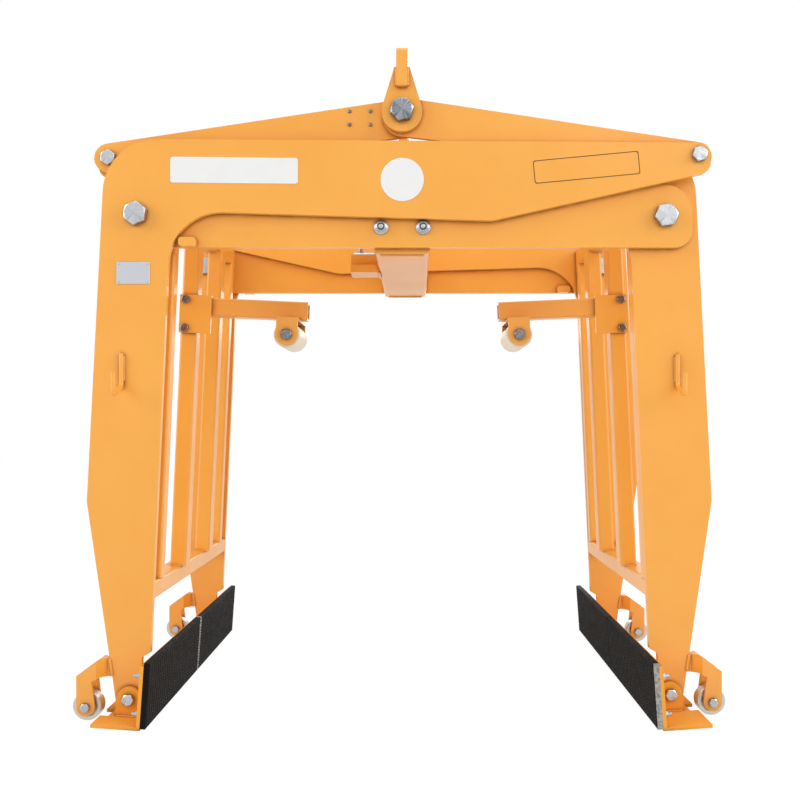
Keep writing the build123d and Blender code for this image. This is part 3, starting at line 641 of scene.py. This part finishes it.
class GRAB_OT_plate_fasteners(Operator):
    """Zinc plate the bolts, nuts and axles, and each wheel about its own axle"""

    bl_idname = "grab.plate_fasteners"
    bl_label = "Plate fasteners and wheels"

    on_one_axis = ("lifting_pins", *(f"{s}_{k}_bolts" for s in SIDES for k in ("pivot", "lug", "pad")))

    def execute(self, context):
        finish = finish_of(context)
        PAINT["zinc"] = zinc_plate("fastener", finish.zinc)
        coat(nodes_in_slot("zinc_fasteners"), PAINT["zinc"])
        PAINT["worn"] = zinc_plate("worn fastener", finish.worn_steel)
        coat([f"{side}_roller_fasteners" for side in SIDES], PAINT["worn"])
        for node in self.on_one_axis:
            low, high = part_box(node)
            base = finish.pin_steel if node == "lifting_pins" else finish.zinc
            coat([node], zinc_plate(node, base, (low + high) / 2))
        for node in nodes_in_slot("zinc_wheels"):
            low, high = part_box(node)
            coat([node], wheel_zinc(node, (low + high) / 2, finish))
        return {"FINISHED"}


class GRAB_OT_finish_rollers(Operator):
    """Turn the guide rollers in cream nylon"""

    bl_idname = "grab.finish_rollers"
    bl_label = "Finish rollers"

    def execute(self, context):
        coat(nodes_in_slot("nylon_rollers"), turned_nylon(finish_of(context)))
        return {"FINISHED"}


def stud_field(start, along, up, out, length, height, pitch, rise):
    """Field of studs: height = rise min(f(u), f(v)), f a trapezium wave along each side.

    The edge is sunk into the pad, and one flat face on it closes the back.
    """
    columns, rows = (max(1, round(side / step)) for side, step in zip((length, height), pitch))
    wave, place = np.array((0.0, 1.0, 1.0)), np.array((0.0, 0.3, 0.7))
    sunk = rise / 4
    u = np.append((np.arange(columns)[:, None] + place).ravel() / columns, 1.0)
    v = np.append((np.arange(rows)[:, None] + place).ravel() / rows, 1.0)
    wave_v, wave_u = (np.append(np.tile(wave, count), 0.0) for count in (rows, columns))
    tall = rise * np.minimum.outer(wave_v, wave_u)
    tall[[0, -1], :] = tall[:, [0, -1]] = -sunk
    points = start + (v * height)[:, None, None] * up + (u * length)[None, :, None] * along
    points = points + tall[:, :, None] * out
    count = points.shape[:2]
    index = np.arange(count[0] * count[1]).reshape(count)
    back = np.concatenate((index[0, :-1], index[:-1, -1], index[-1, :0:-1], index[:0:-1, 0]))
    return points.reshape(-1, 3), grid_faces(*count), back[None, :]


class GRAB_OT_finish_pads(Operator):
    """Make the gripping pads of black rubber and mould rows of small studs on their faces"""

    bl_idname = "grab.finish_pads"
    bl_label = "Finish pads"

    pitch = (0.018, 0.007)
    rise = 0.0022
    edge = 0.0015
    # Spans along Y in ply colour: the right pad's cut end, and a 9 mm band at the left pad's seam.
    pale_spans = {"left": (0.0, 0.009), "right": (-1.0, -0.499)}

    def execute(self, context):
        for side, sign in SIDES.items():
            rubber = grip_rubber(f"{side} pad", finish_of(context), *self.pale_spans[side])
            coat([f"{side}_rubber_pads"], rubber)
            carrier = PadCarrier(side, sign)
            inner = carrier.corner - carrier.outwards * (carrier.backing + carrier.sheet)
            low, high = carrier.pad_low + self.edge, carrier.pad_high - self.edge
            length = carrier.half - carrier.seam - 2 * self.edge
            ways = (ALONG, carrier.up, -carrier.outwards)
            fields = []
            for start in (carrier.seam + self.edge, self.edge - carrier.half):
                begin = inner + carrier.up * low + ALONG * start
                fields.append(stud_field(begin, *ways, length, high - low, self.pitch, self.rise))
            piece = put(f"{side}_pad_studs", fields, f"{side}_pad", rubber, smooth=False)
            self.mark_tops(piece.data, inner, -carrier.outwards)
        return {"FINISHED"}

    def mark_tops(self, mesh, foot, out):
        """Attribute that is the height above the pad's face as a share of a stud's rise."""
        points = np.empty(3 * len(mesh.vertices))
        mesh.vertices.foreach_get("co", points)
        share = np.clip((points.reshape(-1, 3) - foot) @ out / self.rise, 0.0, 1.0)
        mesh.attributes.new("rubbed", "FLOAT", "POINT").data.foreach_set("value", share)


class GRAB_OT_blank_plates(Operator):
    """Put the blank panel, disc, outlined field and data plate on the front of the left leg"""

    bl_idname = "grab.blank_plates"
    bl_label = "Blank plates"

    panel_centre = (-0.3719, 1.2165)
    panel_half = (0.1415, 0.0287)
    panel_corner = 0.006
    panel_tilt = math.radians(-0.6)
    disc_centre = (0.0006, 1.196)
    disc_segments = 72
    field_centre = (0.4089, 1.2229)
    field_half = (0.1173, 0.0256)
    field_corner = 0.005
    field_tilt = math.radians(5.4)
    data_centre = (-0.5955, 0.9891)
    data_half = (0.0367, 0.0247)
    data_corner = 0.002
    rivet_in = 0.005
    rivet = ((0.0, 0.0), (0.0022, 0.0), (0.0021, 0.0007), (0.0013, 0.0012), (0.0, 0.0014))

    def execute(self, context):
        trim, finish = trim_of(context), finish_of(context)
        face, vinyl = plate_face("left"), blank_vinyl(finish)
        panel = rounded_outline(*self.panel_half, self.panel_corner)
        panel = sheet_on_plate(panel, self.panel_centre, face, trim.sticker, self.panel_tilt)
        self.lay("blank_panel", panel, vinyl, "orange_paint")
        disc = trim.disc_radius * circle(self.disc_segments)
        disc = sheet_on_plate(disc, self.disc_centre, face, trim.sticker)
        self.lay("blank_disc", disc, vinyl, "orange_paint")
        field = rounded_outline(*self.field_half, self.field_corner)
        field = band(field, self.field_centre, face, trim.sticker / 2, trim.line, self.field_tilt)
        self.lay("field_outline", field, printed_line(finish), "orange_paint")
        plate = rounded_outline(*self.data_half, self.data_corner)
        plate = sheet_on_plate(plate, self.data_centre, face, trim.data_plate)
        self.lay("data_plate", plate, brushed_plate(finish), "zinc_fasteners")
        rivets = [self.rivet_at(x, z, face - trim.data_plate) for x in BOTH for z in BOTH]
        put("data_plate_rivets", rivets, "left_leg", PAINT["zinc"])
        return {"FINISHED"}

    def lay(self, name, surface, material, slot):
        """One flat piece on the left leg."""
        put(name, [surface], "left_leg", material, smooth=False)

    def rivet_at(self, x, z, face):
        """Rivet in one corner of the data plate."""
        across, up = (
            middle + side * (half - self.rivet_in)
            for middle, side, half in zip(self.data_centre, (x, z), self.data_half)
        )
        return turned(self.rivet, (across, face, up), FORWARD, segments=16)


def nut(place, axis, stud, flats=1.6, tall=0.8, ease=0.14, stands=2.1, ends=2.25, tip=0.82):
    """Hexagon nut: six-sided revolution with its corners eased, and its stud's end standing out.

    Flats and height are in stud diameters, what stands out is in nut heights and the tip in stud radii.
    """
    height, hole = tall * stud, stud / 2
    corner, eased = flats * stud / math.sqrt(3), ease * height
    body = ((0.0, 0.0), (corner, 0.0), (corner, height - eased), (corner - eased, height), (0.0, height))
    neck, end = stands * height, ends * height
    thread = ((0.0, 0.0), (hole, 0.0), (hole, neck), (tip * hole, end), (0.0, end))
    return [turned(body, place, axis, segments=6), turned(thread, place, axis, segments=20)]


class GRAB_OT_small_fasteners(Operator):
    """Add the link screws, the pads' studs and nuts and the collars on the channel's screws"""

    bl_idname = "grab.small_fasteners"
    bl_label = "Small fasteners"

    link_screw_x = (-0.1179, -0.0712)
    link_screw_z = (1.326, 1.356)
    button = (
        (0.0, 0.0), (1.0, 0.0), (1.0, 0.25), (0.86, 0.55), (0.5, 0.72),
        (0.42, 0.72), (0.40, 0.30), (0.0, 0.28),
    )
    stud_heights = (0.032, 0.114)
    stud_columns = (0.487, 0.345, 0.21, 0.07)
    washer = ((0.0, 0.0), (0.0165, 0.0), (0.0165, 0.0022), (0.0158, 0.0028), (0.0, 0.0028))
    collar = (
        (0.0, 0.0), (0.0108, 0.0), (0.0108, 0.0024), (0.0098, 0.0036),
        (0.0084, 0.0036), (0.0082, 0.0012), (0.0, 0.0012),
    )
    insert = ((0.0, 0.0006), (0.0086, 0.0006), (0.0086, 0.0028), (0.0079, 0.0034), (0.0, 0.0034))
    stud_end = ((0.0, 0.0), (0.0054, 0.0), (0.0054, 0.0044), (0.0046, 0.0052), (0.0, 0.0052))

    def execute(self, context):
        trim = trim_of(context)
        zinc = PAINT["zinc"]
        self.link_screws(trim, PAINT["worn"])
        self.pad_studs(trim, zinc)
        self.channel_collars(zinc, nut_insert(finish_of(context)))
        return {"FINISHED"}

    def link_screws(self, trim, steel):
        """Four button heads on the front left link, each with a socket."""
        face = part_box("left_link_front")[0].y
        head = trim.screw * np.array(self.button)
        places = [(x, face, z) for x in self.link_screw_x for z in self.link_screw_z]
        heads = [turned(head, place, FORWARD, segments=24) for place in places]
        put("link_screws", heads, "left_links", steel)

    def pad_studs(self, trim, zinc):
        """Studs of the rubber pads, with nuts on the outer face of each backing."""
        for side, sign in SIDES.items():
            carrier = PadCarrier(side, sign)
            nuts = []
            for y in self.stud_columns:
                for end in BOTH:
                    for height in self.stud_heights:
                        place = carrier.corner + carrier.up * height + ALONG * (end * y)
                        nuts += nut(place, carrier.outwards, trim.stud)
            put(f"{side}_pad_nuts", nuts, f"{side}_pad", zinc, smooth=False)

    def channel_collars(self, zinc, dark):
        """Washer round each channel screw's nut, and its collar, locking ring and screw end."""
        low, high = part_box("channel_screws")
        middle_z = (low.z + high.z) / 2
        beam_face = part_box("beam_front_plate")[0].y
        half_flat = (high.z - low.z) / 2
        reach = high.x - half_flat / math.cos(math.pi / 6)
        rings, inserts = [], []
        for end in BOTH:
            outwards = (0, end, 0)
            for x in (-reach, reach):
                base = (x, end * abs(beam_face), middle_z)
                top = (x, end * abs(low.y), middle_z)
                rings.append(turned(self.washer, base, outwards, segments=40))
                rings.append(turned(self.collar, top, outwards, segments=32))
                rings.append(turned(self.stud_end, top, outwards, segments=24))
                inserts.append(turned(self.insert, top, outwards, segments=32))
        put("channel_nut_collars", rings, "beam_frame", zinc)
        put("channel_nut_inserts", inserts, "beam_frame", dark)


class LeaningLeg:
    """Places in the leaning frame of a leg: across its inner edge, along Y and up its lean."""

    inner_low = (0.557, 0.148)
    inner_high = (0.513, 1.127)
    lower_rail_top = 0.155
    upper_rail = 0.9816
    post_out = -0.028
    post_y, post_half = 0.138, 0.025

    def __init__(self, sign):
        self.sign = sign
        (low_x, low_z), (high_x, high_z) = self.inner_low, self.inner_high
        self.lean = math.atan2(low_x - high_x, high_z - low_z)

    def point(self, across, y, up):
        c, s = math.cos(self.lean), math.sin(self.lean)
        x = self.sign * self.inner_low[0] - self.sign * (across * c + up * s)
        return np.array((x, y, self.inner_low[1] - across * s + up * c))


class GRAB_OT_weld_seams(Operator):
    """Lay weld beads along the seams of the legs, pad carriers, lifting part and beam frame"""

    bl_idname = "grab.weld_seams"
    bl_label = "Weld seams"

    broad, medium, fine = 0.8, 0.75, 0.7
    fork_neck = ((0.6415, 0.096), (0.6475, 0.137))
    neck_in = 0.002
    hook_in, hook_top, hook_foot = 0.0015, 0.004, 0.062
    carrier_length = 0.496
    lug_gap, lug_thickness = 0.002, 0.010
    lug_near, lug_far = 0.003, 0.064
    cheek_foot, cheek_top = 0.003, 0.002
    channel_in, channel_top = 0.012, 0.002

    def execute(self, context):
        trim = trim_of(context)
        self.radius, self.ripple = trim.bead, trim.ripple
        for side, sign in SIDES.items():
            put(f"{side}_leg_welds", self.leg(side, sign), f"{side}_leg", PAINT["coat"])
            put(f"{side}_pad_welds", self.carrier(side, sign), f"{side}_pad", PAINT["coat"])
        put("lifting_welds", self.lifting(), "lifting_part", PAINT["coat"])
        put("frame_welds", self.frame_seams(), "beam_frame", PAINT["coat"])
        return {"FINISHED"}

    def run(self, start, end, size):
        """One weld bead, its size a share of the bead radius."""
        return bead(start, end, self.radius * size, self.ripple)

    def leg(self, side, sign):
        """Fork necks on the plates' outer edges, posts on both rails, and the hook's stem."""
        runs = []
        (x0, z0), (x1, z1) = self.fork_neck
        for end in ("front", "rear"):
            low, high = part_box(f"{side}_leg_{end}_plate")
            for y in (low.y, high.y):
                foot, head = (sign * x0, y, z0 + self.neck_in), (sign * x1, y, z1 - self.neck_in)
                runs.append(self.run(foot, head, self.broad))
        leg = LeaningLeg(sign)
        for y in (-leg.post_y, leg.post_y):
            for up in (leg.lower_rail_top, leg.upper_rail):
                for edge in (y - leg.post_half, y + leg.post_half):
                    outer, inner = leg.point(leg.post_out, edge, up), leg.point(0.0, edge, up)
                    runs.append(self.run(outer, inner, self.fine))
        low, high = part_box(f"{side}_hook")
        face, top, foot = plate_face(side), high.z - self.hook_top, high.z - self.hook_foot
        for x in (low.x + self.hook_in, high.x - self.hook_in):
            runs.append(self.run((x, face, top), (x, face, foot), self.medium))
        return runs

    def carrier(self, side, sign):
        """The long inside corner of a pad carrier, and both sides of its lugs' feet."""
        carrier = PadCarrier(side, sign)
        outwards = carrier.outwards
        inside = carrier.corner + carrier.up * carrier.flange
        reach = ALONG * self.carrier_length
        runs = [self.run(inside - reach, inside + reach, self.broad)]
        near = abs(plate_face(side)) + self.lug_gap
        for end in BOTH:
            for y in (near, near + self.lug_thickness):
                foot = inside + ALONG * (end * y)
                start, stop = foot + outwards * self.lug_near, foot + outwards * self.lug_far
                runs.append(self.run(start, stop, self.fine))
        return runs

    def lifting(self):
        """Cheeks to the lifting beam on both sides of the slot, and the hanger's head."""
        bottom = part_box("lifting_beam")[0].z + self.cheek_foot
        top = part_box("lifting_cheeks")[1].z - self.cheek_top
        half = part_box("lifting_beam")[1].x
        faces = [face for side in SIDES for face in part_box(f"{side}_leg_front_plate")]
        runs = []
        for x in (-half, half):
            for face in faces:
                for y in (-face.y, face.y):
                    runs.append(self.run((x, y, bottom), (x, y, top), self.broad))
        low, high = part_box("latch_hanger")
        for x in (low.x, high.x):
            runs.append(self.run((x, low.y, high.z), (x, high.y, high.z), self.broad))
        return runs

    def frame_seams(self):
        """Channel to its end plates, and housing to the channel."""
        low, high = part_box("centre_channel")
        bottom, top = low.z + self.channel_in, high.z - self.channel_top
        runs = []
        for end in BOTH:
            y = end * (abs(low.y) - self.channel_in)
            for x in (low.x, high.x):
                runs.append(self.run((x, y, bottom), (x, y, top), self.broad))
            start, stop = (low.x + self.channel_in, y, low.z), (high.x - self.channel_in, y, low.z)
            runs.append(self.run(start, stop, self.broad))
        house_low, house_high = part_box("latch_housing")
        start, stop = (low.x, house_low.y, house_low.z), (low.x, house_high.y, house_low.z)
        runs.append(self.run(start, stop, self.broad))
        return runs


class GRAB_OT_stage(Operator):
    """Set up the pale floor, the white surround, the softboxes and the camera"""

    bl_idname = "grab.stage"
    bl_label = "Stage"

    softboxes = (
        ("left_softbox", (-4.5, -2.2, 2.7), (0.0, 0.0, 1.0), 3.4, 2.9),
        ("right_softbox", (4.5, -2.2, 2.7), (0.0, 0.0, 1.0), 3.4, 2.9),
        ("front_softbox", (1.7, -4.9, 3.2), (0.0, 0.0, 0.8), 1.5, 0.35),
        ("top_softbox", (0.0, -0.6, 4.4), (0.0, 0.0, 0.6), 2.6, 0.6),
        ("back_softbox", (0.6, 5.0, 2.4), (0.0, 0.0, 0.8), 2.4, 1.2),
    )
    floor_grey = (0.92, 0.92, 0.92)
    floor_share = 0.86
    floor_white = 1.09
    sensor_width = 36.0
    picture_width = 800
    faced_point = (414.6, 421.5)

    def execute(self, context):
        stage = context.scene.grab_stage
        context.scene.view_settings.view_transform = "Standard"
        self.surround(context, stage)
        self.floor(context, stage)
        self.lights(context, stage)
        self.camera(context, stage)
        return {"FINISHED"}

    def seen(self, nodes):
        """1 for rays from the camera, a mirror or through glass, 0 for rays that carry light."""
        path = nodes.add("ShaderNodeLightPath").outputs
        first = nodes.math("MAXIMUM", path["Is Camera Ray"], path["Is Glossy Ray"])
        return nodes.math("MAXIMUM", first, path["Is Transmission Ray"])

    def surround(self, context, stage):
        """White all round: full strength where it is seen, and the ambient strength as light."""
        world = bpy.data.worlds.new("white surround")
        context.scene.world = world
        world.use_nodes = True
        nodes = Nodes(world.node_tree)
        background = world.node_tree.nodes["Background"]
        background.inputs["Color"].default_value = WHITE
        nodes.give(background.inputs["Strength"], nodes.between(self.seen(nodes), stage.ambient, 1.0))

    def floor(self, context, stage):
        """A plain square: x and y from minus to plus the half width, z = 0."""
        corner = np.array(((-1, -1, 0), (1, -1, 0), (1, 1, 0), (-1, 1, 0)), float) * stage.floor
        mesh = bpy.data.meshes.new("studio_floor")
        mesh.from_pydata(corner.tolist(), [], [(0, 1, 2, 3)])
        floor = bpy.data.objects.new("studio_floor", mesh)
        context.scene.collection.objects.link(floor)
        material = bpy.data.materials.new("studio floor")
        material.use_nodes = True
        tree = material.node_tree
        nodes = Nodes(tree)
        tree.nodes.remove(tree.nodes["Principled BSDF"])
        matt = nodes.add("ShaderNodeBsdfDiffuse", {"Color": colour(self.floor_grey)}).outputs[0]
        glow = {"Color": WHITE, "Strength": self.floor_white}
        white = nodes.add("ShaderNodeEmission", glow).outputs[0]
        share = nodes.times(self.seen(nodes), self.floor_share)
        mixed = nodes.add("ShaderNodeMixShader", {0: share, 1: matt, 2: white}).outputs[0]
        nodes.give(tree.nodes["Material Output"].inputs["Surface"], mixed)
        mesh.materials.append(material)

    def lights(self, context, stage):
        """Square softboxes, each a share of the key power."""
        for name, place, target, size, share in self.softboxes:
            light = bpy.data.lights.new(name, "AREA")
            light.shape = "SQUARE"
            light.size = size
            light.energy = stage.key * share
            lamp = bpy.data.objects.new(name, light)
            context.scene.collection.objects.link(lamp)
            lamp.location = place
            self.aim(lamp, target)

    def aim(self, thing, target):
        """Turn a lamp so that its -Z axis points at the target."""
        way = np.array(target) - np.array(thing.location)
        flat = math.hypot(way[0], way[1])
        thing.rotation_euler = (math.atan2(flat, -way[2]), 0.0, math.atan2(-way[0], way[1]))

    def camera(self, context, stage):
        """Level camera in front of the grab, shifted so that the point it faces is where the photo has it."""
        across, down = (place / self.picture_width for place in self.faced_point)
        data = bpy.data.cameras.new("camera")
        data.sensor_width = self.sensor_width
        data.lens = stage.lens
        data.shift_x = 0.5 - across
        data.shift_y = down - 0.5
        data.dof.use_dof = False
        camera = bpy.data.objects.new("camera", data)
        camera.location = (stage.aside, -stage.distance, stage.height)
        camera.rotation_euler = (math.pi / 2, 0.0, 0.0)
        context.scene.collection.objects.link(camera)
        context.scene.camera = camera


STEPS = (
    GRAB_OT_coat_steel,
    GRAB_OT_plate_fasteners,
    GRAB_OT_finish_rollers,
    GRAB_OT_finish_pads,
    GRAB_OT_blank_plates,
    GRAB_OT_small_fasteners,
    GRAB_OT_weld_seams,
    GRAB_OT_stage,
)


class GRAB_PT_dressing(Panel):
    """Sidebar panel that lists the steps and the settings"""

    bl_idname = "GRAB_PT_dressing"
    bl_label = "Brick grab"
    bl_space_type = "VIEW_3D"
    bl_region_type = "UI"
    bl_category = "Grab"

    def draw(self, context):
        for step in STEPS:
            self.layout.operator(step.bl_idname)
        for settings in (context.scene.grab_finish, context.scene.grab_trim, context.scene.grab_stage):
            box = self.layout.box()
            for key in settings.__annotations__:
                box.prop(settings, key)


CLASSES = (GrabFinish, GrabTrim, GrabStage, *STEPS, GRAB_PT_dressing)
SETTINGS = {"grab_finish": GrabFinish, "grab_trim": GrabTrim, "grab_stage": GrabStage}


def register():
    for cls in CLASSES:
        bpy.utils.register_class(cls)
    for key, cls in SETTINGS.items():
        setattr(bpy.types.Scene, key, PointerProperty(type=cls))


def unregister():
    for key in SETTINGS:
        delattr(bpy.types.Scene, key)
    for cls in reversed(CLASSES):
        bpy.utils.unregister_class(cls)


def main():
    register()
    for step in STEPS:
        family, name = step.bl_idname.split(".")
        getattr(getattr(bpy.ops, family), name)()


if __name__ == "__main__":
    main()
